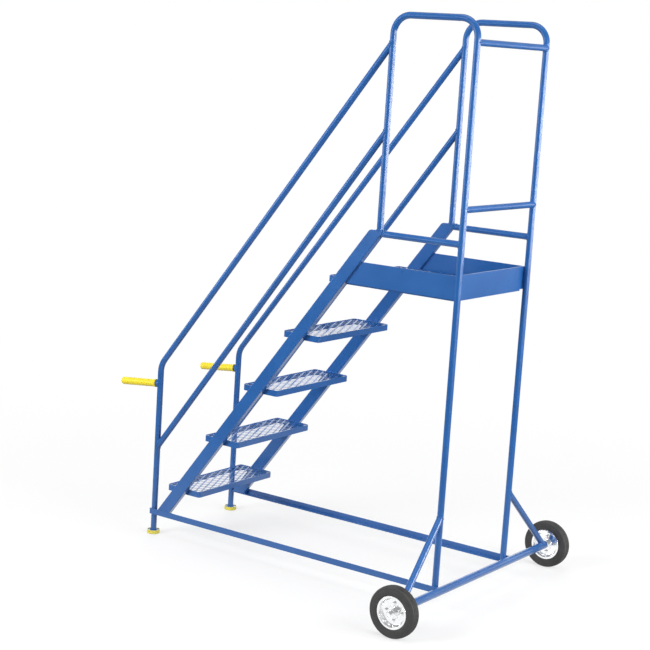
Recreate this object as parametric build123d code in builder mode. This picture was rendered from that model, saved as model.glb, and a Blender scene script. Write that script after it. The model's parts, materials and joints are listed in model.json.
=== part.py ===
from build123d import *
import os
from math import atan2, cos, hypot, radians, sin

# Mobile steps: a welded tube frame with open mesh treads and a platform, on two fixed rear wheels.
# Millimetres, Z up. The climber faces +Y, with the feet in front and the wheels behind.
# The origin is on the floor, under the middle of the whole outline.

os.makedirs("parts", exist_ok=True)

# Round tube of the frame
tube_d = 25.4
tube_wall = 2.0
weld_gap = 0.05

# Plan of the frame
clear_width = 504.0
front_run = 1410.0
first_tread_setback = 144.0

# Levels that a foot stands on
first_tread_z = 225.0
rise = 250.0
going = 186.5
tread_count = 4

# Stringers, flat-sided tube
stringer_depth = 50.8
stringer_t = 25.4
stringer_wall = 2.0
stringer_edge_r = 3.0
stringer_top_r = 20.0
stringer_over_platform = 202.0
stringer_ahead = 8.5

# Hoops, rails and cross bars, measured from the platform or the floor
guard_height = 1006.5
hoop_bend_r = 70.0
handrail_bend_r = 90.0
handrail_bend_z = 736.0
handrail_below_bend = 32.0
mid_rail_foot_z = 379.0
mid_rail_over_platform = 577.0
top_bar_below_bend = 2.0
mid_bar_over_platform = 317.5

# Base rails, angle section with the upright leg outside
rail_leg = 25.0
rail_t = 3.0
rail_seat = 0.2
rail_drop = 11.5

# Treads and platform floor
tread_depth = 175.0
platform_setback = 15.0
tread_edge = 25.0
tread_bar_t = 3.0
tread_corner_r = 12.0
ledge_width = 6.0
ledge_t = 3.0
mesh_t = 3.0
mesh_strand = 4.0
mesh_long = 57.0
mesh_short = 27.0

# Toe boards
board_height = 90.0
board_t = 3.0
board_below_floor = 18.0

# Feet
pad_d = 54.0
pad_height = 16.0
pad_sole = 10.0
pad_rim = 3.0
pad_edge = 2.0
foot_plate_t = 4.0
plate_gap = 0.1

# Push handles
handle_drop = 81.0
handle_tilt = 6.0
handle_bare = 8.0
grip_length = 190.0
grip_d = 32.0
grip_end = 6.0
grip_round = 6.0

# Axle
axle_d = 31.8
axle_wall = 3.0
brace_top_z = 378.0
brace_foot_inset = 20.0
plug_t = 8.0
plug_spigot = 45.0
spindle_d = 20.0
spindle_chamfer = 2.0
spindle_past_hub = 15.0
running_gap = 0.3
spindle_clearance = 0.05

# Wheels
wheel_d = 196.0
wheel_plane_x = 594.0
tyre_width = 42.0
tyre_bead = 33.0
tyre_bead_r = 56.5
tyre_crown = 2.0
tyre_shoulder = 33.0
tread_groove = 3.0
tread_groove_depth = 4.0
tread_groove_pitch = 7.5
tread_groove_count = 4
rim_sheet = 2.5
rim_flange_r = 62.5
rim_web_set = 6.5
rim_dish_r = 47.5
rim_slope = 4.5
hub_r = 16.0
hub_half = 22.0
bush_wall = 3.0
bush_length = 14.0
bush_stop = 1.0
bolt_circle_r = 33.0
bolt_count = 4
bolt_start_angle = 0.0
bolt_d = 8.0
bolt_hole_gap = 0.1
bolt_head_af = 13.0
bolt_head_h = 5.3
washer_r = 18.0
washer_t = 3.0
pin_d = 3.6
pin_hole_gap = 0.1
pin_overhang = 6.0
pin_eye_r = 4.0

# Places worked out from the sizes above
tube_r = tube_d / 2
axle_r = axle_d / 2
wheel_r = wheel_d / 2
spindle_r = spindle_d / 2
frame_half = clear_width / 2 + stringer_t / 2
platform_z = first_tread_z + tread_count * rise
stringer_top_z = platform_z + stringer_over_platform
low_rail_z = stringer_top_z - tube_r
hoop_top_z = platform_z + guard_height
bend_start_z = hoop_top_z - hoop_bend_r
handrail_join_z = bend_start_z - handrail_below_bend
top_bar_z = bend_start_z - top_bar_below_bend - tube_r
mid_rail_join_z = platform_z + mid_rail_over_platform
axle_z = wheel_r
rail_z = axle_z - rail_drop
rail_floor_z = rail_z + rail_t
axle_offset = tube_r + axle_r + weld_gap

# The outline reaches from the tips of the grips to the back of the tyres
handle_reach = tube_r + handle_bare + grip_length
tilt = radians(handle_tilt)
grip_tip = (handle_reach - grip_round) * cos(tilt) + (grip_d / 2 - grip_round) * sin(tilt) + grip_round
rear_y = (front_run + grip_tip - axle_offset - wheel_r) / 2
front_y = rear_y - front_run
axle_y = rear_y + axle_offset
first_tread_y = front_y + first_tread_setback

# The stringers run through every tread, a little ahead of its middle
slope = atan2(rise, going)
stringer_half_run = stringer_depth / 2 / sin(slope)
slope_axis = Axis((0, 0, 0), (0, going, rise))


def tread_line_y(z):
    """Y of the line through the middles of the treads at a height."""
    return first_tread_y + (z - first_tread_z + tread_edge / 2) * going / rise


def stringer_y(z):
    """Y of the stringer's centre line at a height."""
    return tread_line_y(z) - stringer_ahead


post_y = tread_line_y(stringer_top_z)
platform_front_y = first_tread_y - tread_depth / 2 + tread_count * going + platform_setback
board_back_y = rear_y - tube_r - weld_gap
platform_back_y = board_back_y - board_t

# Ends of the axle, counted outward along X
plug_face_x = wheel_plane_x - hub_half - running_gap
axle_half = plug_face_x - plug_t
spindle_end = hub_half + running_gap + washer_t + spindle_past_hub

sides = (("left", -1), ("right", 1))


def finish_part(piece, name):
    """Label a finished piece and write it to its own file."""
    piece.part.label = name
    export_step(piece.part, f"parts/{name}.step")


def side_plane(sx):
    """Plane of one side frame, with Y across and Z up."""
    return Plane.YZ.offset(sx * frame_half)


def sweep_tube(path):
    """Add round frame tube along a path."""
    with BuildSketch(Plane(origin=path @ 0, z_dir=path % 0)) as ring:
        Circle(tube_r)
        Circle(tube_r - tube_wall, mode=Mode.SUBTRACT)
    sweep(sections=ring.sketch, path=path)


def bent_tube(sx, points, bend_r):
    """Add a tube in one side frame, bent at each inner point."""
    with BuildLine(side_plane(sx)) as route:
        FilletPolyline(*points, radius=bend_r)
    sweep_tube(route.line)


def straight_tube(start, end):
    """Add a straight tube between two points."""
    with BuildLine() as route:
        Line(start, end)
    sweep_tube(route.line)


def cope(start, end, radius):
    """Cut the end of a tube to sit against a round member between two points."""
    run = Vector(*end) - Vector(*start)
    with BuildSketch(Plane(origin=start, z_dir=run)) as member:
        Circle(radius + weld_gap)
    extrude(member.sketch, amount=run.length, mode=Mode.SUBTRACT)


def upright_ends(sx):
    """Ends of the rear upright's straight run."""
    return (sx * frame_half, rear_y, rail_floor_z), (sx * frame_half, rear_y, bend_start_z)


def post_ends(sx):
    """Ends of the hoop's front post."""
    return (sx * frame_half, post_y, stringer_top_z), (sx * frame_half, post_y, bend_start_z)


def front_upright_ends(sx):
    """Ends of the front upright."""
    return (sx * frame_half, front_y, pad_sole), (sx * frame_half, front_y, handrail_bend_z)


axle_ends = ((-axle_half, axle_y, axle_z), (axle_half, axle_y, axle_z))

# Side hoops: front post, top and rear upright in one bent tube
for side, sx in sides:
    with BuildPart() as hoop:
        bent_tube(
            sx,
            [
                (post_y, stringer_top_z),
                (post_y, hoop_top_z),
                (rear_y, hoop_top_z),
                (rear_y, rail_floor_z),
            ],
            hoop_bend_r,
        )
    finish_part(hoop, f"hoop_{side}")

# Handrails: front leg, bend and slope up to the hoop's post in one bent tube
leg_foot_z = pad_sole + foot_plate_t
for side, sx in sides:
    with BuildPart() as handrail:
        bent_tube(
            sx,
            [(front_y, leg_foot_z), (front_y, handrail_bend_z), (post_y, handrail_join_z)],
            handrail_bend_r,
        )
        cope(*post_ends(sx), tube_r)
    finish_part(handrail, f"handrail_{side}")

# Mid rails, between the front upright and the hoop's post
for side, sx in sides:
    with BuildPart() as mid_rail:
        straight_tube(
            (sx * frame_half, front_y, mid_rail_foot_z),
            (sx * frame_half, post_y, mid_rail_join_z),
        )
        cope(*front_upright_ends(sx), tube_r)
        cope(*post_ends(sx), tube_r)
    finish_part(mid_rail, f"mid_rail_{side}")

# Stringers: closed at the top with a rounded front corner, open where they stand on the base rail
for side, sx in sides:
    with BuildPart() as stringer:
        with BuildSketch(side_plane(sx)) as outline:
            Polygon(
                (stringer_y(rail_floor_z) - stringer_half_run, rail_floor_z),
                (stringer_y(rail_floor_z) + stringer_half_run, rail_floor_z),
                (stringer_y(stringer_top_z) + stringer_half_run, stringer_top_z),
                (stringer_y(stringer_top_z) - stringer_half_run, stringer_top_z),
                align=None,
            )
            fillet(outline.vertices().group_by(Axis.Y)[-1].sort_by(Axis.X)[0], radius=stringer_top_r)
        extrude(amount=stringer_t / 2, both=True)
        fillet(stringer.edges().filter_by(slope_axis), radius=stringer_edge_r)
        inner_half_run = (stringer_depth / 2 - stringer_wall) / sin(slope)
        inner_top_z = stringer_top_z - stringer_wall
        with BuildSketch(side_plane(sx)) as hollow:
            Polygon(
                (stringer_y(rail_floor_z) - inner_half_run, rail_floor_z),
                (stringer_y(rail_floor_z) + inner_half_run, rail_floor_z),
                (stringer_y(inner_top_z) + inner_half_run, inner_top_z),
                (stringer_y(inner_top_z) - inner_half_run, inner_top_z),
                align=None,
            )
            fillet(hollow.vertices().group_by(Axis.Y)[-1].sort_by(Axis.X)[0], radius=stringer_top_r)
        extrude(amount=stringer_t / 2 - stringer_wall, both=True, mode=Mode.SUBTRACT)
    finish_part(stringer, f"stringer_{side}")


def stringer_back(sx):
    """Plane of the stringer's rear face, facing away from it."""
    return Plane(
        origin=(sx * frame_half, stringer_y(stringer_top_z) + stringer_half_run, stringer_top_z),
        z_dir=(0, sin(slope), -cos(slope)),
    )


# Low side rails, from the stringer's head to the rear upright
for side, sx in sides:
    with BuildPart() as low_rail:
        straight_tube((sx * frame_half, post_y, low_rail_z), (sx * frame_half, rear_y, low_rail_z))
        split(bisect_by=stringer_back(sx), keep=Keep.TOP)
        cope(*upright_ends(sx), tube_r)
    finish_part(low_rail, f"low_rail_{side}")

# Cross bars between the rear uprights
cross_bars = (("top", top_bar_z), ("middle", platform_z + mid_bar_over_platform))
for level, bar_z in cross_bars:
    with BuildPart() as cross_bar:
        straight_tube((-frame_half, rear_y, bar_z), (frame_half, rear_y, bar_z))
        cope(*upright_ends(-1), tube_r)
        cope(*upright_ends(1), tube_r)
    finish_part(cross_bar, f"cross_bar_{level}")

# Base rails: angle section that the uprights and stringers stand in
rail_face_x = frame_half + max(tube_r, stringer_t / 2) + rail_seat
rail_out_x = rail_face_x + rail_t
rail_front_y = front_y - tube_r
for side, sx in sides:
    with BuildPart() as base_rail:
        with BuildSketch(Plane.XZ.offset(-rail_front_y)):
            Polygon(
                (sx * rail_out_x, rail_z),
                (sx * rail_out_x, rail_z + rail_leg),
                (sx * rail_face_x, rail_z + rail_leg),
                (sx * rail_face_x, rail_floor_z),
                (sx * (rail_out_x - rail_leg), rail_floor_z),
                (sx * (rail_out_x - rail_leg), rail_z),
                align=None,
            )
        extrude(amount=rail_front_y - axle_y)
        with BuildSketch(Plane.XZ.offset(-rail_front_y)):
            with Locations((sx * (rail_face_x - rail_leg / 2), rail_z)):
                Rectangle(rail_leg, rail_t, align=(Align.CENTER, Align.MIN))
        extrude(amount=rail_front_y - front_y, mode=Mode.SUBTRACT)
        cope(*axle_ends, axle_r)
        cope(*front_upright_ends(sx), tube_r)
    finish_part(base_rail, f"base_rail_{side}")

# Axle tube across the back, wider than the frame
with BuildPart() as axle_tube:
    with BuildSketch(Plane(origin=axle_ends[0], z_dir=(1, 0, 0))):
        Circle(axle_r)
        Circle(axle_r - axle_wall, mode=Mode.SUBTRACT)
    extrude(amount=2 * axle_half)
finish_part(axle_tube, "axle_tube")

# Braces from the rear uprights out to the ends of the axle tube
brace_slope = (brace_top_z - axle_z) / (axle_half - frame_half)
brace_foot_x = axle_half - brace_foot_inset + axle_r / brace_slope
for side, sx in sides:
    with BuildPart() as brace:
        straight_tube((sx * frame_half, rear_y, brace_top_z), (sx * brace_foot_x, axle_y, axle_z))
        cope(*upright_ends(sx), tube_r)
        cope((-brace_foot_x - tube_d, axle_y, axle_z), (brace_foot_x + tube_d, axle_y, axle_z), axle_r)
    finish_part(brace, f"brace_{side}")


def mesh_frame(front, back, top):
    """Add an upright bar round a floor panel, with a ledge inside that carries the mesh."""
    depth = back - front
    place = Plane((0, (front + back) / 2, top))
    inner_r = tread_corner_r - tread_bar_t
    with BuildSketch(place) as bar:
        RectangleRounded(clear_width, depth, tread_corner_r)
        RectangleRounded(
            clear_width - 2 * tread_bar_t, depth - 2 * tread_bar_t, inner_r, mode=Mode.SUBTRACT
        )
    extrude(bar.sketch, amount=-tread_edge)
    with BuildSketch(place.offset(-mesh_t - ledge_t)) as ledge:
        RectangleRounded(clear_width - tread_bar_t, depth - tread_bar_t, inner_r)
        Rectangle(
            clear_width - 2 * (tread_bar_t + ledge_width),
            depth - 2 * (tread_bar_t + ledge_width),
            mode=Mode.SUBTRACT,
        )
    extrude(ledge.sketch, amount=ledge_t)


def mesh_panel(front, back, top):
    """Add a panel of diamond mesh that lies on the ledge, level with the bar round it."""
    width = clear_width - 2 * (tread_bar_t + weld_gap)
    depth = back - front - 2 * (tread_bar_t + weld_gap)
    half_long = mesh_long / 2
    half_short = mesh_short / 2
    strand_share = mesh_strand / 2 * hypot(half_long, half_short) / (half_long * half_short)
    hole_long = half_long * (1 - strand_share)
    hole_short = half_short * (1 - strand_share)
    columns = int((width - ledge_width) // mesh_long)
    rows = int((depth - ledge_width) // mesh_short)
    with BuildSketch(Plane((0, (front + back) / 2, top))) as net:
        RectangleRounded(width, depth, tread_corner_r - tread_bar_t)
        for count_x, count_y in ((columns, rows), (columns - 1, rows - 1)):
            with GridLocations(mesh_long, mesh_short, count_x, count_y):
                Polygon(
                    (hole_long, 0),
                    (0, hole_short),
                    (-hole_long, 0),
                    (0, -hole_short),
                    align=None,
                    mode=Mode.SUBTRACT,
                )
    extrude(net.sketch, amount=-mesh_t)


# Treads, each a frame with its mesh
for number in range(tread_count):
    tread_front = first_tread_y - tread_depth / 2 + number * going
    tread_z = first_tread_z + number * rise
    with BuildPart() as tread_frame:
        mesh_frame(tread_front, tread_front + tread_depth, tread_z)
    finish_part(tread_frame, f"tread_frame_{number + 1}")
    with BuildPart() as tread_mesh:
        mesh_panel(tread_front, tread_front + tread_depth, tread_z)
    finish_part(tread_mesh, f"tread_mesh_{number + 1}")

# Platform, one step above the last tread and back to the rear toe board
with BuildPart() as platform_frame:
    mesh_frame(platform_front_y, platform_back_y, platform_z)
finish_part(platform_frame, "platform_frame")

with BuildPart() as platform_mesh:
    mesh_panel(platform_front_y, platform_back_y, platform_z)
finish_part(platform_mesh, "platform_mesh")

# Toe boards at the sides, from the stringers to the rear uprights
board_z = platform_z - board_below_floor
for side, sx in sides:
    with BuildPart() as toe_board:
        with BuildSketch(side_plane(sx)):
            with Locations((stringer_y(board_z), board_z)):
                Rectangle(rear_y - stringer_y(board_z), board_height, align=Align.MIN)
        extrude(amount=board_t / 2, both=True)
        split(bisect_by=stringer_back(sx), keep=Keep.TOP)
        cope(*upright_ends(sx), tube_r)
    finish_part(toe_board, f"toe_board_{side}")

# Toe board across the back, between the side boards
rear_board_half = frame_half - board_t / 2
with BuildPart() as toe_board_rear:
    with BuildSketch(Plane.XZ.offset(-board_back_y)):
        with Locations((0, board_z)):
            Rectangle(2 * rear_board_half, board_height, align=(Align.CENTER, Align.MIN))
    extrude(amount=board_t)
finish_part(toe_board_rear, "toe_board_rear")

# Feet: a steel plate under each front leg, held in a cupped pad
plate_r = pad_d / 2 - pad_rim - plate_gap
for side, sx in sides:
    foot = Plane((sx * frame_half, front_y, 0))
    with BuildPart() as foot_plate:
        with BuildSketch(foot.offset(pad_sole)):
            Circle(plate_r)
        extrude(amount=foot_plate_t)
    finish_part(foot_plate, f"foot_plate_{side}")
    with BuildPart() as foot_pad:
        with BuildSketch(foot):
            Circle(pad_d / 2)
        extrude(amount=pad_height)
        chamfer(foot_pad.edges().group_by(Axis.Z)[0], length=pad_edge)
        with BuildSketch(foot.offset(pad_sole)):
            Circle(pad_d / 2 - pad_rim)
        extrude(amount=pad_height - pad_sole, mode=Mode.SUBTRACT)
    finish_part(foot_pad, f"foot_pad_{side}")

# Push handles: a stub on each front upright with a closed sleeve grip over it
handle_z = handrail_bend_z - handle_drop
for side, sx in sides:
    root = Vector(sx * frame_half, front_y, handle_z)
    forward = Vector(0, -cos(tilt), -sin(tilt))
    stub_end = root + forward * (handle_reach - grip_end)
    grip_plane = Plane(origin=root + forward * (tube_r + handle_bare), z_dir=forward)
    with BuildPart() as handle_stub:
        straight_tube(tuple(root), tuple(stub_end))
        cope(*front_upright_ends(sx), tube_r)
    finish_part(handle_stub, f"handle_stub_{side}")
    with BuildPart() as grip:
        with BuildSketch(grip_plane):
            Circle(grip_d / 2)
        extrude(amount=grip_length)
        fillet(grip.faces().sort_by(Axis.Y)[0].edges(), radius=grip_round)
        with BuildSketch(grip_plane):
            Circle(tube_r + weld_gap)
        extrude(amount=grip_length - grip_end, mode=Mode.SUBTRACT)
    finish_part(grip, f"grip_{side}")


def wheel_plane(sx):
    """Plane through a wheel's axis: outward along the axle, then up from it."""
    return Plane(
        origin=(sx * wheel_plane_x, axle_y, axle_z),
        x_dir=(sx, 0, 0),
        z_dir=(0, -sx, 0),
    )


wheel_axis = Axis((0, axle_y, axle_z), (1, 0, 0))


def turned(sx, outline):
    """Add a solid turned about the wheel's axis from points of axle distance and radius."""
    with BuildSketch(wheel_plane(sx)) as profile:
        Polygon(*outline, align=None)
    revolve(profile.sketch, axis=wheel_axis)


def ring(sx, start, end, inner_r, outer_r):
    """Add a plain ring about the wheel's axis."""
    turned(sx, [(start, inner_r), (end, inner_r), (end, outer_r), (start, outer_r)])


# Axle plugs: a cap on each end of the axle tube, with a spigot inside it
plug_outer = plug_face_x - wheel_plane_x
plug_inner = plug_outer - plug_t
for side, sx in sides:
    with BuildPart() as axle_plug:
        bore_r = spindle_r + weld_gap
        ring(sx, plug_inner, plug_outer, bore_r, axle_r)
        ring(sx, plug_inner - plug_spigot, plug_inner, bore_r, axle_r - axle_wall - weld_gap)
    finish_part(axle_plug, f"axle_plug_{side}")

# Wheel spindles, drilled near the end for a split pin
pin_place = hub_half + running_gap + washer_t + pin_d / 2 + pin_hole_gap
for side, sx in sides:
    with BuildPart() as spindle:
        turned(
            sx,
            [
                (plug_inner - plug_spigot, 0),
                (spindle_end, 0),
                (spindle_end, spindle_r - spindle_chamfer),
                (spindle_end - spindle_chamfer, spindle_r),
                (plug_inner - plug_spigot, spindle_r),
            ],
        )
        pin_x = sx * (wheel_plane_x + pin_place)
        with BuildSketch(Plane((pin_x, axle_y, axle_z - spindle_d))):
            Circle(pin_d / 2 + pin_hole_gap)
        extrude(amount=2 * spindle_d, mode=Mode.SUBTRACT)
    finish_part(spindle, f"spindle_{side}")

# Tyres: solid rubber with grooves round the tread
tyre_half = tyre_width / 2
bead_half = tyre_bead / 2
shoulder_half = tyre_shoulder / 2
sidewall_r = (rim_flange_r + wheel_r - tyre_crown) / 2
for side, sx in sides:
    with BuildPart() as tyre:
        with BuildSketch(wheel_plane(sx)):
            with BuildLine():
                right_bead = Line((bead_half, tyre_bead_r), (bead_half, rim_flange_r))
                right_wall = ThreePointArc(
                    right_bead @ 1, (tyre_half, sidewall_r), (shoulder_half, wheel_r - tyre_crown)
                )
                crown = ThreePointArc(
                    right_wall @ 1, (0, wheel_r), (-shoulder_half, wheel_r - tyre_crown)
                )
                left_wall = ThreePointArc(
                    crown @ 1, (-tyre_half, sidewall_r), (-bead_half, rim_flange_r)
                )
                left_bead = Line(left_wall @ 1, (-bead_half, tyre_bead_r))
                Line(left_bead @ 1, right_bead @ 0)
            make_face()
            with GridLocations(tread_groove_pitch, 0, tread_groove_count, 1):
                with Locations((0, wheel_r)):
                    Rectangle(tread_groove, 2 * tread_groove_depth, mode=Mode.SUBTRACT)
        revolve(axis=wheel_axis)
    finish_part(tyre, f"tyre_{side}")

# Rim halves: pressed sheet, back to back at the hub and apart at the beads
web_hole_r = hub_r + weld_gap
seat_r = tyre_bead_r - weld_gap
well_r = seat_r - rim_sheet
lip = bead_half + weld_gap
step_r = rim_dish_r + rim_slope
for side, sx in sides:
    for face, out in (("outer", 1), ("inner", -1)):
        half_outline = [
            (0, web_hole_r),
            (rim_sheet, web_hole_r),
            (rim_sheet, rim_dish_r),
            (rim_web_set + rim_sheet, step_r),
            (rim_web_set + rim_sheet, well_r),
            (lip + rim_sheet, well_r),
            (lip + rim_sheet, rim_flange_r),
            (lip, rim_flange_r),
            (lip, seat_r),
            (rim_web_set, seat_r),
            (rim_web_set, step_r),
            (0, rim_dish_r),
        ]
        with BuildPart() as rim:
            turned(sx, [(out * along, radius) for along, radius in half_outline])
            with BuildSketch(Plane(origin=(0, axle_y, axle_z), z_dir=(1, 0, 0))):
                with PolarLocations(bolt_circle_r, bolt_count, start_angle=bolt_start_angle):
                    Circle(bolt_d / 2 + bolt_hole_gap)
            extrude(amount=sx * 2 * wheel_plane_x, mode=Mode.SUBTRACT)
        finish_part(rim, f"rim_{face}_{side}")

# Hubs, with a plastic bush in each end
bush_r = spindle_r + spindle_clearance
hub_bore_r = bush_r + bush_wall
hub_mid_r = hub_bore_r - bush_stop
for side, sx in sides:
    with BuildPart() as hub:
        turned(
            sx,
            [
                (-hub_half, hub_bore_r + weld_gap),
                (-hub_half + bush_length, hub_bore_r + weld_gap),
                (-hub_half + bush_length, hub_mid_r),
                (hub_half - bush_length, hub_mid_r),
                (hub_half - bush_length, hub_bore_r + weld_gap),
                (hub_half, hub_bore_r + weld_gap),
                (hub_half, hub_r),
                (-hub_half, hub_r),
            ],
        )
    finish_part(hub, f"hub_{side}")
    with BuildPart() as bushes:
        ring(sx, -hub_half, -hub_half + bush_length, bush_r, hub_bore_r)
        ring(sx, hub_half - bush_length, hub_half, bush_r, hub_bore_r)
    finish_part(bushes, f"hub_bushes_{side}")

# Wheel bolts, each with its head outside and its nut inside
for side, sx in sides:
    with BuildPart() as wheel_bolts:
        web_out = Plane(origin=(sx * wheel_plane_x, axle_y, axle_z), z_dir=(sx, 0, 0))
        for start, height, hexagon in (
            (rim_sheet, bolt_head_h, True),
            (-rim_sheet, 2 * rim_sheet, False),
            (-rim_sheet - bolt_head_h, bolt_head_h, True),
        ):
            with BuildSketch(web_out.offset(start)):
                with PolarLocations(bolt_circle_r, bolt_count, start_angle=bolt_start_angle):
                    if hexagon:
                        RegularPolygon(bolt_head_af / 2, 6, major_radius=False)
                    else:
                        Circle(bolt_d / 2)
            extrude(amount=height)
    finish_part(wheel_bolts, f"wheel_bolts_{side}")

# Washers outside the hubs, kept on by split pins
washer_start = hub_half + running_gap
for side, sx in sides:
    with BuildPart() as washer:
        ring(sx, washer_start, washer_start + washer_t, spindle_r + spindle_clearance, washer_r)
    finish_part(washer, f"washer_{side}")
    pin_base = Plane((sx * (wheel_plane_x + pin_place), axle_y, axle_z - spindle_r - pin_overhang))
    pin_length = spindle_d + 2 * pin_overhang
    with BuildPart() as split_pin:
        with BuildSketch(pin_base):
            Circle(pin_d / 2)
        extrude(amount=pin_length)
        with Locations(pin_base.offset(pin_length + pin_eye_r)):
            Torus(pin_eye_r, pin_d / 2, rotation=(0, 90, 0))
    finish_part(split_pin, f"split_pin_{side}")
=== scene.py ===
import json
import math
import random

import bmesh
import bpy
from mathutils import Matrix, Vector


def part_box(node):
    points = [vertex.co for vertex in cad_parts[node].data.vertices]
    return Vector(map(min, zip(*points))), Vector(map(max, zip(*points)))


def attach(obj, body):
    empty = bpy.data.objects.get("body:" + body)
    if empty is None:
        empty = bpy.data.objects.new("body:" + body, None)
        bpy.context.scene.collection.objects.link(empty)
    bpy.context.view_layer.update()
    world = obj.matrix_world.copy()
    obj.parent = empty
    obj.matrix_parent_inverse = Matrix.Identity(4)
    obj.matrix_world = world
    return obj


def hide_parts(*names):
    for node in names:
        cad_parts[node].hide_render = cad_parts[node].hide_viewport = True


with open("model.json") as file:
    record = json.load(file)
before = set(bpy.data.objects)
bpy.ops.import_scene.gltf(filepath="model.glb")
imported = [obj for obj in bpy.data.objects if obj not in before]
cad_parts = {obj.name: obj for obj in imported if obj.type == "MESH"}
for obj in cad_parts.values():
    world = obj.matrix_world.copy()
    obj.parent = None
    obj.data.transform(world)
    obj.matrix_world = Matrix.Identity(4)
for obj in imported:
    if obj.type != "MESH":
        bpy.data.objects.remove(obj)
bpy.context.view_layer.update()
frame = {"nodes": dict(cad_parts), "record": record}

# Mobile steps in metres, Z up: the feet are in front at -Y, the wheels behind at +Y.
UP = Vector((0, 0, 1))
ACROSS = Vector((1, 0, 0))
BACK = Vector((0, 1, 0))
SIDES = (("left", -1), ("right", 1))
FRAME = "frame"

# Axes of the frame's tubes, read from the solids
hoop_low, hoop_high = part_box("hoop_right")
tube_r = (hoop_high.x - hoop_low.x) / 2
side_x = (hoop_high.x + hoop_low.x) / 2
post_y = hoop_low.y + tube_r
rear_y = hoop_high.y - tube_r
rail_floor_z = hoop_low.z
leg_low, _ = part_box("handrail_right")
front_y = leg_low.y + tube_r
foot_plate_top = leg_low.z
_, stringer_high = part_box("stringer_right")
stringer_top = stringer_high.z
axle_low, axle_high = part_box("axle_tube")
axle_y = (axle_low.y + axle_high.y) / 2
axle_z = (axle_low.z + axle_high.z) / 2
axle_r = (axle_high.z - axle_low.z) / 2
low_rail_low, low_rail_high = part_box("low_rail_right")
low_rail_z = (low_rail_low.z + low_rail_high.z) / 2
rail_low, rail_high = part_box("base_rail_right")

# Places on those tubes where others are welded
handrail_bend_z = 0.736
handrail_join_z = 2.1295
mid_rail_foot_z = 0.379
mid_rail_join_z = 1.802
brace_top_z = 0.378
brace_foot_x = 0.5607
handle_z = 0.655
handle_tilt = math.radians(6)
handle_run = Vector((0, -math.cos(handle_tilt), -math.sin(handle_tilt)))
rise = 0.250
going = 0.1865
slope = math.atan2(rise, going)
stringer_half_depth = 0.0254
stringer_half_run = stringer_half_depth / math.sin(slope)
tread_numbers = range(1, 5)


# Materials

def new_material(name):
    """An empty node material and its shader."""
    material = bpy.data.materials.new(name)
    material.use_nodes = True
    nodes = material.node_tree.nodes
    shader = nodes["Principled BSDF"]
    return material, nodes, material.node_tree.links, shader


def object_noise(nodes, links, scale, detail=2.0, roughness=0.5):
    """Noise that stays fixed on the piece."""
    place = nodes.get("Texture Coordinate") or nodes.new("ShaderNodeTexCoord")
    noise = nodes.new("ShaderNodeTexNoise")
    noise.inputs["Scale"].default_value = scale
    noise.inputs["Detail"].default_value = detail
    noise.inputs["Roughness"].default_value = roughness
    links.new(place.outputs["Object"], noise.inputs["Vector"])
    return noise.outputs["Fac"]


def ramp(nodes, links, factor, dark_stop, light_stop):
    """A colour ramp over a factor, between two stops of (place, colour)."""
    blend = nodes.new("ShaderNodeValToRGB")
    for element, (place, colour) in zip(blend.color_ramp.elements, (dark_stop, light_stop)):
        element.position = place
        element.color = (*colour, 1)
    links.new(factor, blend.inputs["Fac"])
    return blend.outputs["Color"]


def spread(nodes, links, factor, low, high):
    """A factor from 0 to 1 stretched between two values."""
    span = nodes.new("ShaderNodeMapRange")
    span.inputs["To Min"].default_value = low
    span.inputs["To Max"].default_value = high
    links.new(factor, span.inputs["Value"])
    return span.outputs["Result"]


def bump(nodes, links, height, strength, distance):
    """Fine relief from a height."""
    relief = nodes.new("ShaderNodeBump")
    relief.inputs["Strength"].default_value = strength
    relief.inputs["Distance"].default_value = distance
    links.new(height, relief.inputs["Height"])
    return relief.outputs["Normal"]


def floor_dust(nodes, links, reach, most):
    """Share of dust on a surface, most near the floor and none above a height."""
    place = nodes.get("Texture Coordinate") or nodes.new("ShaderNodeTexCoord")
    parts = nodes.new("ShaderNodeSeparateXYZ")
    links.new(place.outputs["Object"], parts.inputs["Vector"])
    height = nodes.new("ShaderNodeMapRange")
    height.inputs["From Max"].default_value = reach
    height.inputs["To Min"].default_value = 1.0
    height.inputs["To Max"].default_value = 0.0
    links.new(parts.outputs["Z"], height.inputs["Value"])
    patchy = nodes.new("ShaderNodeMath")
    patchy.operation = "MULTIPLY"
    links.new(height.outputs["Result"], patchy.inputs[0])
    patches = object_noise(nodes, links, scale=55.0, detail=5.0, roughness=0.65)
    links.new(spread(nodes, links, patches, low=0.0, high=most), patchy.inputs[1])
    return patchy.outputs[0]


def over(nodes, links, share, under, colour):
    """A colour laid over another by a share."""
    mix = nodes.new("ShaderNodeMix")
    mix.data_type = "RGBA"
    links.new(share, mix.inputs["Factor"])
    links.new(under, mix.inputs["A"])
    mix.inputs["B"].default_value = (*colour, 1)
    return mix.outputs["Result"]


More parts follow.
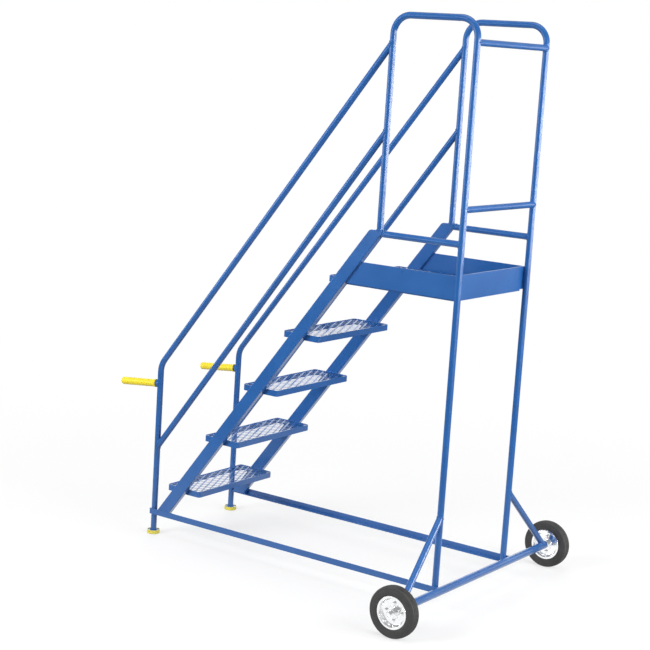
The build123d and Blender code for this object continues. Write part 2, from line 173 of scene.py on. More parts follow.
def blue_paint(name, coat, gloss):
    """Sprayed blue paint with faint clouding, orange peel and dust near the floor."""
    deep_blue = (0.014, 0.106, 0.355)
    light_blue = (0.020, 0.126, 0.405)
    grey_dust = (0.22, 0.26, 0.32)
    material, nodes, links, shader = new_material(name)
    clouds = object_noise(nodes, links, scale=7.0, detail=4.0)
    colour = ramp(nodes, links, clouds, (0.32, deep_blue), (0.68, light_blue))
    dust = floor_dust(nodes, links, reach=0.5, most=0.15)
    links.new(over(nodes, links, dust, colour, grey_dust), shader.inputs["Base Color"])
    patches = object_noise(nodes, links, scale=23.0, detail=5.0)
    links.new(spread(nodes, links, patches, low=0.24, high=0.36), shader.inputs["Roughness"])
    peel = object_noise(nodes, links, scale=160.0, detail=1.0)
    links.new(bump(nodes, links, peel, strength=0.012, distance=0.0003), shader.inputs["Normal"])
    shader.inputs["Specular IOR Level"].default_value = 0.25
    shader.inputs["Coat Weight"].default_value = coat
    shader.inputs["Coat IOR"].default_value = 1.33
    shader.inputs["Coat Roughness"].default_value = gloss
    return material


def yellow_sleeve(name):
    """Smooth yellow moulded vinyl."""
    deep_yellow = (0.88, 0.68, 0.022)
    light_yellow = (0.94, 0.77, 0.032)
    material, nodes, links, shader = new_material(name)
    clouds = object_noise(nodes, links, scale=30.0, detail=3.0)
    colour = ramp(nodes, links, clouds, (0.3, deep_yellow), (0.7, light_yellow))
    links.new(colour, shader.inputs["Base Color"])
    links.new(spread(nodes, links, clouds, low=0.30, high=0.45), shader.inputs["Roughness"])
    grain = object_noise(nodes, links, scale=250.0, detail=2.0)
    links.new(bump(nodes, links, grain, strength=0.02, distance=0.0002), shader.inputs["Normal"])
    return material


def yellow_rubber(name):
    """Matt pale yellow rubber."""
    dull_yellow = (0.76, 0.66, 0.090)
    pale_yellow = (0.86, 0.76, 0.130)
    material, nodes, links, shader = new_material(name)
    clouds = object_noise(nodes, links, scale=45.0, detail=4.0)
    colour = ramp(nodes, links, clouds, (0.3, dull_yellow), (0.7, pale_yellow))
    links.new(colour, shader.inputs["Base Color"])
    links.new(spread(nodes, links, clouds, low=0.55, high=0.75), shader.inputs["Roughness"])
    grain = object_noise(nodes, links, scale=700.0, detail=3.0)
    links.new(bump(nodes, links, grain, strength=0.2, distance=0.0006), shader.inputs["Normal"])
    return material


def tyre_rubber(name):
    """Dull dark grey rubber with a dusty bloom."""
    dark_grey = (0.036, 0.036, 0.036)
    bloom_grey = (0.062, 0.061, 0.060)
    material, nodes, links, shader = new_material(name)
    bloom = object_noise(nodes, links, scale=38.0, detail=5.0, roughness=0.6)
    colour = ramp(nodes, links, bloom, (0.30, dark_grey), (0.72, bloom_grey))
    links.new(colour, shader.inputs["Base Color"])
    links.new(spread(nodes, links, bloom, low=0.58, high=0.80), shader.inputs["Roughness"])
    grain = object_noise(nodes, links, scale=1100.0, detail=2.0)
    links.new(bump(nodes, links, grain, strength=0.25, distance=0.0005), shader.inputs["Normal"])
    return material


def zinc_steel(name):
    """Bright zinc plate with a faint spangle."""
    zinc_grey = (0.88, 0.89, 0.90)
    zinc_white = (0.95, 0.953, 0.955)
    material, nodes, links, shader = new_material(name)
    spangle = object_noise(nodes, links, scale=70.0, detail=2.0)
    colour = ramp(nodes, links, spangle, (0.3, zinc_grey), (0.7, zinc_white))
    links.new(colour, shader.inputs["Base Color"])
    links.new(spread(nodes, links, spangle, low=0.10, high=0.18), shader.inputs["Roughness"])
    shader.inputs["Metallic"].default_value = 1.0
    brushed = object_noise(nodes, links, scale=300.0, detail=2.0)
    links.new(bump(nodes, links, brushed, strength=0.01, distance=0.0002), shader.inputs["Normal"])
    return material


def bush_plastic(name):
    """Natural nylon."""
    cream = (0.62, 0.61, 0.55)
    pale_cream = (0.72, 0.71, 0.65)
    material, nodes, links, shader = new_material(name)
    clouds = object_noise(nodes, links, scale=60.0, detail=3.0)
    colour = ramp(nodes, links, clouds, (0.3, cream), (0.7, pale_cream))
    links.new(colour, shader.inputs["Base Color"])
    links.new(spread(nodes, links, clouds, low=0.40, high=0.55), shader.inputs["Roughness"])
    return material


finishes = {
    "blue_paint": blue_paint("blue_paint", coat=1.0, gloss=0.20),
    "rubbed_paint": blue_paint("rubbed_paint", coat=0.3, gloss=0.04),
    "yellow_sleeve": yellow_sleeve("yellow_sleeve"),
    "yellow_rubber": yellow_rubber("yellow_rubber"),
    "tyre_rubber": tyre_rubber("tyre_rubber"),
    "zinc_steel": zinc_steel("zinc_steel"),
    "bush_plastic": bush_plastic("bush_plastic"),
}

for row in frame["record"]["subparts"]:
    node = frame["nodes"][row["node"]]
    node.data.materials.clear()
    node.data.materials.append(finishes[row["material_slot"]])


# Making pieces

piece_crease = math.radians(40)
bolt_crease = math.radians(25)
wire_crease = math.radians(70)
cut_tolerance = 1e-7
wire_merge = 1e-6
axis_merge = 1e-5


def finish_piece(bm, name, slot, body=FRAME, stands_for=(), crease=piece_crease, finish=None):
    """Turn a bmesh into a piece that rides on a body, smooth except at its sharp edges."""
    bmesh.ops.recalc_face_normals(bm, faces=bm.faces)
    for face in bm.faces:
        face.smooth = True
    for edge in bm.edges:
        edge.smooth = edge.is_manifold and edge.calc_face_angle() < crease
    mesh = bpy.data.meshes.new(name)
    bm.to_mesh(mesh)
    bm.free()
    mesh.materials.append(finishes[finish or slot])
    piece = bpy.data.objects.new(name, mesh)
    bpy.context.scene.collection.objects.link(piece)
    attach(piece, body)
    if stands_for:
        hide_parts(*stands_for)


# Expanded metal in the treads and the platform

mesh_long = 0.057
mesh_short = 0.027
strand_width = 0.0058
strand_t = 0.0012
strand_tilt = math.radians(4)
bond_length = 0.010
bond_overlap = 0.0002
panel_corner_r = 0.009


def strand(bm, start, half_pitches):
    """One zigzag strand along X from a start point, with short flats where its neighbours join it."""
    reach = strand_width * math.cos(strand_tilt) + strand_t * math.sin(strand_tilt)
    swing = (mesh_short / 2 - reach + bond_overlap) / 2
    corners = [bm.verts.new((0, y, z)) for y, z in (
        (-strand_width / 2, -strand_t / 2),
        (strand_width / 2, -strand_t / 2),
        (strand_width / 2, strand_t / 2),
        (-strand_width / 2, strand_t / 2),
    )]
    face = bm.faces.new(corners)
    place = Matrix.Translation(start - BACK * swing) @ Matrix.Rotation(strand_tilt, 4, "X")
    bmesh.ops.transform(bm, matrix=place, verts=corners)
    side = 1
    inside = []
    for _ in range(half_pitches):
        for run, swerve in ((bond_length, 0), (mesh_long / 2 - bond_length, 2 * swing * side)):
            grown = bmesh.ops.extrude_face_region(bm, geom=[face])["geom"]
            tip = [item for item in grown if isinstance(item, bmesh.types.BMVert)]
            bmesh.ops.translate(bm, verts=tip, vec=(run, swerve, 0))
            face = next(item for item in grown if isinstance(item, bmesh.types.BMFace))
            inside.append(face)
        side = -side
    bmesh.ops.delete(bm, geom=inside[:-1], context="FACES_ONLY")


def trim(bm, point, outward):
    """Cut away everything beyond a plane and close the strand ends that it leaves."""
    geom = bm.verts[:] + bm.edges[:] + bm.faces[:]
    cut = bmesh.ops.bisect_plane(
        bm, geom=geom, dist=cut_tolerance, plane_co=point, plane_no=outward, clear_outer=True
    )
    rims = [item for item in cut["geom_cut"] if isinstance(item, bmesh.types.BMEdge) and item.is_boundary]
    if rims:
        bmesh.ops.holes_fill(bm, edges=rims)


def expanded_metal(node):
    """Expanded metal that fills a floor panel, on the ledge of the bar round it."""
    low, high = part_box(node)
    height = strand_width * math.sin(strand_tilt) + strand_t * math.cos(strand_tilt)
    level = low.z + height / 2
    half_pitches = 2 * math.ceil((high.x - low.x) / mesh_long) + 4
    rows = math.ceil((high.y - low.y) / (mesh_short / 2)) + 1
    first_y = (low.y + high.y) / 2 - (rows - 1) / 2 * mesh_short / 2
    bm = bmesh.new()
    strand(bm, Vector((-half_pitches / 4 * mesh_long, first_y, level)), half_pitches)
    first_row = bm.verts[:] + bm.edges[:] + bm.faces[:]
    for row in range(1, rows):
        copied = bmesh.ops.duplicate(bm, geom=first_row)["geom"]
        verts = [item for item in copied if isinstance(item, bmesh.types.BMVert)]
        stagger = (row % 2) * mesh_long / 2
        bmesh.ops.translate(bm, verts=verts, vec=(stagger, row * mesh_short / 2, 0))
    trim(bm, low, -ACROSS)
    trim(bm, high, ACROSS)
    trim(bm, low, -BACK)
    trim(bm, high, BACK)
    for x, outward_x in ((low.x, -1), (high.x, 1)):
        for y, outward_y in ((low.y, -1), (high.y, 1)):
            slant = Vector((outward_x, outward_y, 0))
            centre = Vector((x, y, level)) - slant * panel_corner_r
            trim(bm, centre + slant.normalized() * panel_corner_r, slant)
    finish_piece(bm, f"expanded_{node}", "blue_paint", stands_for=(node,), finish="rubbed_paint")


for number in tread_numbers:
    expanded_metal(f"tread_mesh_{number}")
expanded_metal("platform_mesh")


# Weld beads

bead_r = 0.0026
bead_ripple = 0.12
bead_unevenness = 0.06
bead_end = 0.55
bead_pitch = 0.0030
bead_steps = 2
fewest_steps = 4
wire_resolution = 2
stitch_length = 0.018
saddle_steps = 72
ring_steps = 48
touch_steps = 32
rail_end_steps = 8
ripple_luck = random.Random(4)

# Places of the short welds, from the edges of the pieces they join
touch_half_width = 0.0072
touch_half_height = 0.0080
leg_weld_spread = 0.0055
leg_weld_inset = 0.0036
stringer_weld_inset = 0.001
tread_weld_inset = 0.004
rear_board_weld_out = 0.0008
rear_board_weld_inset = 0.006
board_stitches = 3
platform_stitches = 6
platform_stitch_reach = 0.22


def round_wire(name, radius):
    """An empty curve with a round section and closed ends."""
    curve = bpy.data.curves.new(name, "CURVE")
    curve.dimensions = "3D"
    curve.bevel_depth = radius
    curve.bevel_resolution = wire_resolution
    curve.use_fill_caps = True
    return curve


def mesh_piece(curve, name, slot, stands_for=()):
    """Turn a curve with a round section into a mesh piece on the frame."""
    carrier = bpy.data.objects.new(name, curve)
    mesh = bpy.data.meshes.new_from_object(carrier)
    bpy.data.objects.remove(carrier)
    bpy.data.curves.remove(curve)
    bm = bmesh.new()
    bm.from_mesh(mesh)
    bpy.data.meshes.remove(mesh)
    bmesh.ops.remove_doubles(bm, verts=bm.verts, dist=wire_merge)
    finish_piece(bm, name, slot, FRAME, stands_for, crease=wire_crease)


def even_steps(points, closed, step):
    """Points an even step apart along a line of points."""
    line = list(points) + [points[0]] if closed else list(points)
    lengths = [(b - a).length for a, b in zip(line, line[1:])]
    total = sum(lengths)
    count = max(fewest_steps, 2 * round(total / step / 2))
    spaced = []
    leg, passed = 0, 0.0
    for number in range(count if closed else count + 1):
        along = total * number / count
        while leg < len(lengths) - 1 and along > passed + lengths[leg]:
            passed += lengths[leg]
            leg += 1
        share = (along - passed) / lengths[leg]
        spaced.append(line[leg].lerp(line[leg + 1], min(share, 1.0)))
    return spaced


def weld_beads(name, seams):
    """Rippled beads along seams, each a list of points and whether it runs right round."""
    curve = round_wire(name, bead_r)
    for points, closed in seams:
        route = even_steps(points, closed, bead_pitch / bead_steps)
        spline = curve.splines.new("POLY")
        spline.points.add(len(route) - 1)
        spline.use_cyclic_u = closed
        for count, (knot, point) in enumerate(zip(spline.points, route)):
            knot.co = (*point, 1)
            swell = bead_ripple if count % bead_steps else -bead_ripple
            knot.radius = 1 + swell + ripple_luck.uniform(-bead_unevenness, bead_unevenness)
        if not closed:
            spline.points[0].radius = bead_end
            spline.points[-1].radius = bead_end
    mesh_piece(curve, name, "blue_paint")


def turns_round(steps):
    """Even turns right round a circle."""
    return [2 * math.pi * step / steps for step in range(steps)]


def saddle_seam(foot, run, main, main_r, branch_r):
    """Seam where a round branch, running out from a foot on the main tube's axis, meets that tube."""
    run, main = run.normalized(), main.normalized()
    first = run.cross(main).normalized()
    second = run.cross(first)
    flat_run = run - main * run.dot(main)
    seam = []
    for turn in turns_round(saddle_steps):
        out = (first * math.cos(turn) + second * math.sin(turn)) * branch_r
        flat_out = out - main * out.dot(main)
        lean = flat_run.dot(flat_out)
        size = flat_run.length_squared
        room = max(lean * lean - size * (flat_out.length_squared - main_r * main_r), 0.0)
        seam.append(foot + out + run * ((math.sqrt(room) - lean) / size))
    return seam, True


def ring_seam(centre, radius):
    """Level ring, such as the foot of an upright."""
    turns = turns_round(ring_steps)
    return [centre + Vector((radius * math.cos(turn), radius * math.sin(turn), 0)) for turn in turns], True


def stitch_seams(start, end, count):
    """Short stitches shared out along a joint, with one at each end."""
    whole = end - start
    gap = (whole.length - stitch_length) / max(count - 1, 1)
    along = whole.normalized()
    starts = [start + along * gap * number for number in range(count)]
    return [([point, point + along * stitch_length], False) for point in starts]


def line_seam(start, end):
    """One straight bead."""
    return [start, end], False


def stringer_y(z):
    """Y of the stringer's centre line at a height."""
    return stringer_high.y - stringer_half_run + (z - stringer_top) / math.tan(slope)


def stringer_rear_y(z):
    """Y of the stringer's rear face at a height."""
    return stringer_y(z) + stringer_half_run


def rail_seams(x):
    """Joints of the handrail, mid rail, low rail and hoop in one side frame."""
    post_top = Vector((x, post_y, handrail_join_z))
    bend = Vector((x, front_y, handrail_bend_z))
    mid_foot = Vector((x, front_y, mid_rail_foot_z))
    mid_head = Vector((x, post_y, mid_rail_join_z))
    low_end = Vector((x, rear_y, low_rail_z))
    seams = [
        saddle_seam(post_top, bend - post_top, UP, tube_r, tube_r),
        saddle_seam(mid_foot, mid_head - mid_foot, UP, tube_r, tube_r),
        saddle_seam(mid_head, mid_foot - mid_head, UP, tube_r, tube_r),
        saddle_seam(low_end, -BACK, UP, tube_r, tube_r),
        ring_seam(Vector((x, post_y, stringer_top)), tube_r),
    ]
    turns = turns_round(ring_steps)
    ring = [(x + tube_r * math.cos(turn), low_rail_z + tube_r * math.sin(turn)) for turn in turns]
    seams.append(([Vector((px, stringer_rear_y(pz), pz)) for px, pz in ring], True))
    return seams


def on_axle_front(x, z):
    """Point on the front of the axle tube at a height."""
    drop = z - axle_z
    return Vector((x, axle_y - math.sqrt(axle_r * axle_r - drop * drop), z))


def foot_seams(x):
    """Joints round the foot of one side frame: leg, uprights, stringer, base rail and axle tube."""
    out = math.copysign(1, x)
    rail_out = out * rail_high.x
    rail_in = out * rail_low.x
    seams = [
        ring_seam(Vector((x, front_y, foot_plate_top)), tube_r),
        ring_seam(Vector((x, rear_y, rail_floor_z)), tube_r),
    ]
    touch = Vector((x, rear_y + tube_r, axle_z))
    wide, high = ACROSS * touch_half_width, UP * touch_half_height
    oval = [touch + wide * math.cos(turn) + high * math.sin(turn) for turn in turns_round(touch_steps)]
    seams.append((oval, True))
    rail_rise = rail_high.z - rail_low.z
    heights = [rail_low.z + rail_rise * step / rail_end_steps for step in range(rail_end_steps + 1)]
    seams.append(([on_axle_front(rail_out, z) for z in heights], False))
    seams.append(line_seam(on_axle_front(rail_out, rail_low.z), on_axle_front(rail_in, rail_low.z)))
    for along in (-leg_weld_spread, leg_weld_spread):
        low = Vector((out * (rail_high.x - leg_weld_inset), front_y + along, rail_floor_z))
        seams.append(line_seam(low, low + UP * (rail_high.z - rail_floor_z)))
    for edge in (-1, 1):
        y = stringer_y(rail_floor_z) + edge * stringer_half_run
        inner = Vector((rail_in + out * stringer_weld_inset, y, rail_floor_z))
        outer = Vector((out * (side_x + tube_r - stringer_weld_inset), y, rail_floor_z))
        seams.append(line_seam(inner, outer))
    brace_head = Vector((x, rear_y, brace_top_z))
    brace_foot = Vector((out * brace_foot_x, axle_y, axle_z))
    seams.append(saddle_seam(brace_head, brace_foot - brace_head, UP, tube_r, tube_r))
    seams.append(saddle_seam(brace_foot, brace_head - brace_foot, ACROSS, axle_r, tube_r))
    stub_root = Vector((x, front_y, handle_z))
    seams.append(saddle_seam(stub_root, handle_run, UP, tube_r, tube_r))
    return seams


def floor_seams(x):
    """Joints of the treads, platform and toe boards on one side frame."""
    out = math.copysign(1, x)
    seams = []
    for node in [f"tread_frame_{number}" for number in tread_numbers] + ["platform_frame"]:
        low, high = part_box(node)
        for z in (low.z, high.z):
            y = stringer_y(z)
            run = stringer_half_run - tread_weld_inset
            seams.append(line_seam(Vector((out * high.x, y - run, z)), Vector((out * high.x, y + run, z))))
    low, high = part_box("toe_board_right")
    for face in (low.x, high.x):
        foot = Vector((out * face, stringer_rear_y(low.z), low.z))
        head = Vector((out * face, stringer_rear_y(high.z), high.z))
        seams.append(line_seam(foot, head))
        foot, head = Vector((out * face, high.y, low.z)), Vector((out * face, high.y, high.z))
        seams += stitch_seams(foot, head, board_stitches)
    low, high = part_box("toe_board_rear")
    inside = (low.y, high.x)
    outside = (high.y + rear_board_weld_out, high.x - rear_board_weld_inset)
    for y, x_end in (inside, outside):
        foot, head = Vector((out * x_end, y, low.z)), Vector((out * x_end, y, high.z))
        seams += stitch_seams(foot, head, board_stitches)
    return seams


for side, sx in SIDES:
    weld_beads(f"rail_welds_{side}", rail_seams(sx * side_x))
    weld_beads(f"foot_welds_{side}", foot_seams(sx * side_x))
    weld_beads(f"floor_welds_{side}", floor_seams(sx * side_x))
for level in ("top", "middle"):
    low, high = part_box(f"cross_bar_{level}")
    bar_z = (low.z + high.z) / 2
    ends = []
    for _, sx in SIDES:
        ends.append(saddle_seam(Vector((sx * side_x, rear_y, bar_z)), -sx * ACROSS, UP, tube_r, tube_r))
    weld_beads(f"cross_bar_welds_{level}", ends)
low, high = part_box("platform_frame")
left_end = Vector((-platform_stitch_reach, high.y, high.z))
right_end = Vector((platform_stitch_reach, high.y, high.z))
weld_beads("platform_welds", stitch_seams(left_end, right_end, platform_stitches))


# Turned pieces

sharp_reach = 1e-7


def rounded(corners, segments=5):
    """An outline of (along, radius, corner radius) with its corners rounded."""
    outline = []
    count = len(corners)
    for number, (along, radius, corner_r) in enumerate(corners):
        here = Vector((along, radius))
        before = Vector(corners[number - 1][:2]) - here
        after = Vector(corners[(number + 1) % count][:2]) - here
        half = before.angle(after) / 2
        reach = corner_r / math.tan(half)
        if corner_r == 0 or reach < sharp_reach:
            outline.append(here)
            continue
        start = here + before.normalized() * reach
        end = here + after.normalized() * reach
        middle = (before.normalized() + after.normalized()).normalized()
        centre = here + middle * (corner_r / math.sin(half))
        first, last = start - centre, end - centre
        sweep = first.angle_signed(last)
        for step in range(segments + 1):
            turn = sweep * step / segments
            outline.append(centre + Matrix.Rotation(-turn, 2) @ first)
    return outline


def turn_piece(bm, outline, centre, axis, out, steps=96, closed=True):
    """Spin an outline of (along the axis, out from it) right round the axis."""
    verts = [bm.verts.new(centre + axis * point[0] + out * point[1]) for point in outline]
    edges = [bm.edges.new((a, b)) for a, b in zip(verts, verts[1:])]
    if closed:
        edges.append(bm.edges.new((verts[-1], verts[0])))
    bmesh.ops.spin(
        bm, geom=verts + edges, cent=centre, axis=axis, angle=2 * math.pi, steps=steps, use_merge=True
    )
    bmesh.ops.remove_doubles(bm, verts=bm.verts, dist=axis_merge)


def mm(*corners):
    """Outline corners from millimetres."""
    return [tuple(value / 1000 for value in corner) for corner in corners]


def both_ways(half):
    """A whole outline from its half on the outer side."""
    return list(half) + [(-along, radius, corner) for along, radius, corner in reversed(half)]


# Wheels: along is outward from the wheel's middle, and every corner has its own rounding

tyre_half_outline = mm(
    (16.5, 56.5, 0.8), (16.5, 62.2, 1.0), (19.4, 65.4, 2.0), (20.4, 70.5, 5.0),
    (20.9, 76.0, 4.0), (20.8, 78.6, 0.4), (21.5, 79.2, 0.4), (21.5, 80.4, 0.4), (20.7, 81.0, 0.4),
    (20.2, 85.0, 2.0), (19.6, 88.5, 0.4), (20.2, 89.1, 0.4), (20.0, 90.3, 0.4), (19.0, 90.9, 0.4),
    (18.2, 94.0, 2.0), (16.4, 96.0, 0.8), (12.75, 96.9, 0.5), (12.4, 93.0, 0.6), (10.1, 93.2, 0.6),
    (9.75, 97.2, 0.5), (5.25, 97.8, 0.5), (4.9, 93.9, 0.6), (2.6, 94.0, 0.6), (2.25, 97.95, 0.5),
)
rim_half_outline = mm(
    (0.0, 16.1, 0.0), (2.5, 16.1, 0.4), (2.5, 21.0, 0.6), (3.6, 22.2, 0.8), (3.6, 24.4, 0.8),
    (2.5, 25.6, 0.6), (2.5, 47.5, 4.0), (8.5, 52.6, 4.0), (19.0, 53.9, 2.4), (19.0, 62.5, 1.0),
    (16.6, 62.5, 1.0), (16.6, 56.4, 0.5), (7.5, 56.4, 3.0), (6.5, 52.5, 3.0), (0.0, 47.5, 3.0),
)
hub_outline = mm((-22.0, 13.1, 0.4), (22.0, 13.1, 0.4), (22.0, 16.0, 1.0), (-22.0, 16.0, 1.0))
washer_outline = mm((22.3, 10.1, 0.3), (25.3, 10.1, 0.3), (25.3, 18.0, 0.6), (22.3, 18.0, 0.6))
bolt_circle_r = 0.033
bolt_count = 4
web_face = 0.0025
bolt_washer_r = 0.0080
bolt_washer_t = 0.0014
bolt_washer_steps = 24
bolt_head_r = 0.0075
bolt_head_h = 0.0052
bolt_chamfer = 0.0007
bolt_end_r = 0.0039
bolt_end_h = 0.0025
bolt_end_taper = 0.8
bolt_end_steps = 16
pin_place = 0.0272
pin_wire_r = 0.0009
pin_neck_z = 0.0102
pin_eye_r = 0.0040
pin_eye_start = math.radians(-115)
pin_eye_sweep = math.radians(-310)
pin_eye_steps = 16
pin_short_tail = mm((-6.8, -12.8), (-3.0, -12.0))
pin_long_tail = mm((3.0, -12.6), (6.8, -14.4))


def turned(name, slot, outline, place, axis, out, body=FRAME, stands_for=(), closed=True, steps=96):
    """A whole turned piece."""
    bm = bmesh.new()
    turn_piece(bm, outline, place, axis, out, steps, closed)
    finish_piece(bm, name, slot, body, stands_for)


def hexagon(bm, foot, axis, radius, height, lift):
    """A hexagon head with its outer rim chamfered, lifted off a face."""
    made = bmesh.ops.create_cone(
        bm, cap_ends=True, segments=6, radius1=radius, radius2=radius, depth=height
    )["verts"]
    turn = axis.to_track_quat("Z", "Y").to_matrix().to_4x4()
    place = Matrix.Translation(foot + axis * (lift + height / 2)) @ turn
    bmesh.ops.transform(bm, matrix=place, verts=made)
    edges = {edge for vert in made for edge in vert.link_edges}
    rim = [edge for edge in edges if all((v.co - foot).dot(axis) > lift + height / 2 for v in edge.verts)]
    bmesh.ops.bevel(bm, geom=rim, offset=bolt_chamfer, offset_type="OFFSET", affect="EDGES",
                    segments=2, profile=0.5, material=-1)


def bolt_places(centre, axis, up):
    """Centres of the bolts, even round the wheel's middle."""
    spokes = [Matrix.Rotation(turn, 4, axis) @ up for turn in turns_round(bolt_count)]
    return [centre + spoke * bolt_circle_r for spoke in spokes]


def bolt_ends(bm, centre, axis, up):
    """Heads or nuts on one face of the web, each on a flat washer."""
    ring = [(0, 0), (0, bolt_washer_r), (bolt_washer_t, bolt_washer_r), (bolt_washer_t, 0)]
    for place in bolt_places(centre, axis, up):
        foot = place + axis * web_face
        turn_piece(bm, ring, foot, axis, up, bolt_washer_steps, False)
        hexagon(bm, foot, axis, bolt_head_r, bolt_head_h, bolt_washer_t)


def bolt_tails(bm, centre, axis, up):
    """Ends of the bolts that stand out of their nuts."""
    start = web_face + bolt_washer_t + bolt_head_h
    end = start + bolt_end_h
    tail = [(start, 0), (start, bolt_end_r), (end, bolt_end_r * bolt_end_taper), (end, 0)]
    for place in bolt_places(centre, axis, up):
        turn_piece(bm, tail, place, axis, up, bolt_end_steps, False)


def split_pin(name, centre, node):
    """A split pin: two legs through the spindle, an eye above and the tails bent apart below."""
    eye_z = pin_neck_z + pin_eye_r
    turns = [pin_eye_start + pin_eye_sweep * step / pin_eye_steps for step in range(pin_eye_steps + 1)]
    eye = [(pin_eye_r * math.cos(turn), eye_z + pin_eye_r * math.sin(turn)) for turn in turns]
    short_leg = [(-pin_wire_r, -pin_neck_z), (-pin_wire_r, pin_neck_z)]
    long_leg = [(pin_wire_r, pin_neck_z), (pin_wire_r, -pin_neck_z)]
    route = pin_short_tail + short_leg + eye + long_leg + pin_long_tail
    curve = round_wire(name, pin_wire_r)
    spline = curve.splines.new("POLY")
    spline.points.add(len(route) - 1)
    for knot, (along, height) in zip(spline.points, route):
        knot.co = (*(centre + BACK * along + UP * height), 1)
    mesh_piece(curve, name, "zinc_steel", (node,))


for side, sx in SIDES:
    body = f"wheel_{side}"
    low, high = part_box(f"tyre_{side}")
    middle = (low + high) / 2
    outward = ACROSS * sx
    tyre_outline = rounded(both_ways(tyre_half_outline), 4)
    turned(f"ribbed_tyre_{side}", "tyre_rubber", tyre_outline, middle, outward, UP,
           body, (f"tyre_{side}",), steps=128)
    for face, way in (("outer", outward), ("inner", -outward)):
        turned(f"pressed_rim_{face}_{side}", "zinc_steel", rounded(rim_half_outline), middle, way, UP,
               body, (f"rim_{face}_{side}",))
    turned(f"turned_hub_{side}", "zinc_steel", rounded(hub_outline, 3), middle, outward, UP,
           body, (f"hub_{side}",), steps=48)
    turned(f"spindle_washer_{side}", "zinc_steel", rounded(washer_outline, 3), middle, outward, UP,
           FRAME, (f"washer_{side}",), steps=48)
    bm = bmesh.new()
    bolt_ends(bm, middle, outward, UP)
    bolt_ends(bm, middle, -outward, UP)
    bolt_tails(bm, middle, -outward, UP)
    finish_piece(bm, f"hex_bolts_{side}", "zinc_steel", body, (f"wheel_bolts_{side}",), bolt_crease)
    split_pin(f"bent_split_pin_{side}", middle + outward * pin_place, f"split_pin_{side}")


# Grips and feet

grip_bare = 0.008
grip_outline = mm(
    (184.0, 0.0, 0.0), (184.0, 12.8, 0.5), (0.0, 12.8, 0.5), (0.0, 17.2, 1.2), (5.0, 17.2, 1.4),
    (7.5, 15.8, 2.0), (20.0, 15.6, 20.0), (170.0, 16.0, 20.0), (190.0, 16.0, 6.0), (190.0, 0.0, 0.0),
)
pad_outline = mm(
    (0.0, 0.0, 0.0), (0.0, 6.0, 0.3), (1.5, 6.8, 0.3), (1.5, 9.2, 0.3), (0.0, 10.0, 0.3), (0.0, 15.0, 0.3),
    (1.5, 15.8, 0.3), (1.5, 18.2, 0.3), (0.0, 19.0, 0.3), (0.0, 25.0, 1.0), (2.0, 27.0, 1.0),
    (6.2, 27.0, 0.4), (6.8, 26.2, 0.4), (8.4, 26.2, 0.4), (9.0, 27.0, 0.4), (16.0, 27.0, 1.0),
    (16.0, 24.1, 0.8), (10.0, 24.1, 0.5), (10.0, 0.0, 0.0),
)
for side, sx in SIDES:
    root = Vector((sx * side_x, front_y, handle_z)) + handle_run * (tube_r + grip_bare)
    turned(f"sleeve_grip_{side}", "yellow_sleeve", rounded(grip_outline, 6), root, handle_run, ACROSS,
           FRAME, (f"grip_{side}",), closed=False, steps=64)
    sole = Vector((sx * side_x, front_y, 0))
    turned(f"cup_foot_{side}", "yellow_rubber", rounded(pad_outline, 3), sole, UP, ACROSS,
           FRAME, (f"foot_pad_{side}",), closed=False, steps=72)


# Floor, light and camera

floor_size = 60.0
floor_pale = 0.90
floor_dull = 0.25
shadow_reach = 0.7
fade_reach = 3.4
seen_white = 0.60
shine_near = 1.10
shine_far = 0.15
room_light = 0.35
room_shine = 0.40


def fade_outward(nodes, links, near, far):
    """A value that runs from near to far with the distance from the object."""
    place = nodes.new("ShaderNodeTexCoord")
    distance = nodes.new("ShaderNodeVectorMath")
    distance.operation = "LENGTH"
    links.new(place.outputs["Object"], distance.inputs[0])
    fade = nodes.new("ShaderNodeMapRange")
    fade.interpolation_type = "SMOOTHSTEP"
    fade.inputs["From Min"].default_value = shadow_reach
    fade.inputs["From Max"].default_value = fade_reach
    fade.inputs["To Min"].default_value = near
    fade.inputs["To Max"].default_value = far
    links.new(distance.outputs["Value"], fade.inputs["Value"])
    return fade.outputs["Result"]


def mix_shaders(nodes, links, share, first, second):
    """Two shaders mixed by a share."""
    mix = nodes.new("ShaderNodeMixShader")
    links.new(share, mix.inputs[0])
    links.new(first.outputs[0], mix.inputs[1])
    links.new(second.outputs[0], mix.inputs[2])
    return mix


def make_floor():
    """A pale floor that takes the shadow and runs out into plain white, and throws back little light."""
    bm = bmesh.new()
    bmesh.ops.create_grid(bm, x_segments=1, y_segments=1, size=floor_size / 2)
    mesh = bpy.data.meshes.new("floor")
    bm.to_mesh(mesh)
    bm.free()
    floor = bpy.data.objects.new("floor", mesh)
    bpy.context.scene.collection.objects.link(floor)
    material, nodes, links, pale = new_material("pale_floor")
    pale.inputs["Base Color"].default_value = (floor_pale, floor_pale, floor_pale, 1)
    pale.inputs["Roughness"].default_value = 0.9
    pale.inputs["Specular IOR Level"].default_value = 0.1
    white = nodes.new("ShaderNodeEmission")
    dull = nodes.new("ShaderNodeBsdfDiffuse")
    dull.inputs["Color"].default_value = (floor_dull, floor_dull, floor_dull, 1)
    shine = nodes.new("ShaderNodeEmission")
    links.new(fade_outward(nodes, links, shine_near, shine_far), shine.inputs["Strength"])
    path = nodes.new("ShaderNodeLightPath")
    unseen = mix_shaders(nodes, links, path.outputs["Is Glossy Ray"], dull, shine)
    seen = mix_shaders(nodes, links, fade_outward(nodes, links, seen_white, 1.0), pale, white)
    ground = mix_shaders(nodes, links, path.outputs["Is Camera Ray"], unseen, seen)
    links.new(ground.outputs[0], nodes["Material Output"].inputs["Surface"])
    mesh.materials.append(material)


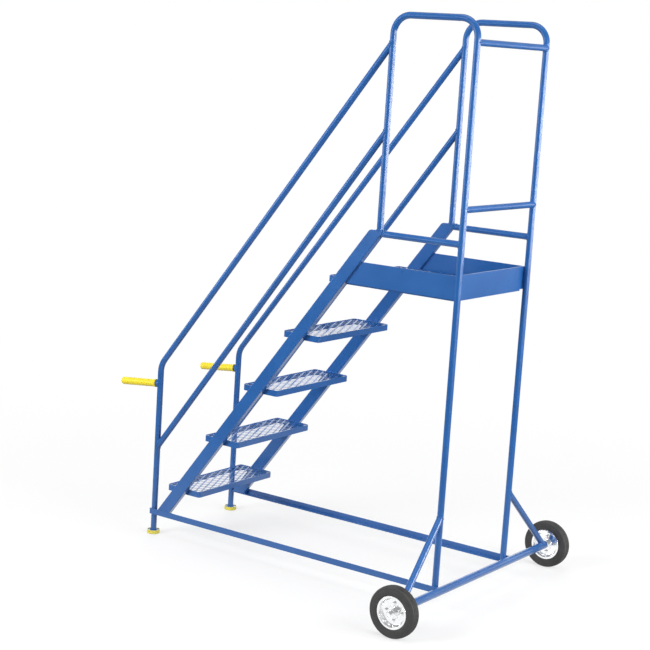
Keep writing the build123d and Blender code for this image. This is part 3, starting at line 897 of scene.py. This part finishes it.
def make_world():
    """Plain white for the camera, and softer as light and as a shine."""
    world = bpy.data.worlds.new("studio")
    bpy.context.scene.world = world
    world.use_nodes = True
    nodes, links = world.node_tree.nodes, world.node_tree.links
    backdrop = nodes["Background"]
    backdrop.inputs["Color"].default_value = (1, 1, 1, 1)
    path = nodes.new("ShaderNodeLightPath")
    level = nodes.new("ShaderNodeMath")
    level.operation = "MAXIMUM"
    links.new(spread(nodes, links, path.outputs["Is Glossy Ray"], room_light, room_shine), level.inputs[0])
    links.new(path.outputs["Is Camera Ray"], level.inputs[1])
    links.new(level.outputs[0], backdrop.inputs["Strength"])


def soft_lamp(name, place, aim, size, power, lights=True, shines=True):
    """A rectangular soft lamp turned towards a point, which can give light, a shine or both."""
    data = bpy.data.lights.new(name, "AREA")
    data.shape = "RECTANGLE"
    data.size, data.size_y = size
    data.energy = power
    lamp = bpy.data.objects.new(name, data)
    lamp.location = place
    lamp.rotation_euler = (Vector(aim) - Vector(place)).to_track_quat("-Z", "Y").to_euler()
    lamp.visible_camera = False
    lamp.visible_diffuse = lights
    lamp.visible_glossy = shines
    bpy.context.scene.collection.objects.link(lamp)


make_floor()
make_world()

# Lamps that light the object without showing in its gloss
soft_lamp("key", place=(-0.2, 3.9, 2.0), aim=(-0.1, 0.5, 1.4), size=(3.2, 1.6), power=135, shines=False)
soft_lamp("fill", place=(6.0, -2.4, 3.2), aim=(0, 0, 1.0), size=(3.0, 3.0), power=355, shines=False)
soft_lamp("back_fill", place=(-5.0, -4.2, 3.0), aim=(0, 0, 1.0), size=(3.0, 3.0), power=130, shines=False)
soft_lamp("top", place=(0.5, 0.3, 6.5), aim=(0, 0, 0), size=(4.0, 4.0), power=90)

# Bright cards that only show in the gloss, as streaks along the tubes
soft_lamp("streak_right", place=(-2.8, 6.0, 1.6), aim=(-2.8, 0, 1.6), size=(4.4, 1.8), power=400,
          lights=False)
soft_lamp("streak_left", place=(1.95, 6.0, 1.6), aim=(1.95, 0, 1.6), size=(2.7, 1.8), power=245, lights=False)
soft_lamp("streak_front", place=(4.2, -4.5, 1.75), aim=(0, 0, 1.75), size=(5.5, 1.5), power=95, lights=False)
soft_lamp("edge", place=(-6.0, 1.2, 1.6), aim=(0, 1.2, 1.6), size=(5.0, 1.8), power=80, lights=False)
soft_lamp("card", place=(-4.8, -3.6, 1.8), aim=(0, 0, 1.0), size=(6.0, 3.0), power=70, lights=False)

# The photograph's view, level with the frame's own axes, so the lean of the frame is in the camera
eye = Vector((5.390, 3.7128, 2.074))
eye_azimuth = math.radians(124.711)
eye_elevation = math.radians(9.515)
eye_roll = math.radians(3.697)
eye_focal_px = 1619.0
picture_px = 650
sensor_mm = 36.0

camera_data = bpy.data.cameras.new("camera")
camera_data.sensor_width = sensor_mm
camera_data.lens = eye_focal_px / picture_px * sensor_mm
camera = bpy.data.objects.new("camera", camera_data)
sight = Matrix.Rotation(eye_azimuth, 4, "Z") @ Matrix.Rotation(math.pi / 2 - eye_elevation, 4, "X")
camera.matrix_world = Matrix.Translation(eye) @ sight @ Matrix.Rotation(eye_roll, 4, "Z")
bpy.context.scene.collection.objects.link(camera)
bpy.context.scene.camera = camera
bpy.context.scene.view_settings.view_transform = "Standard"
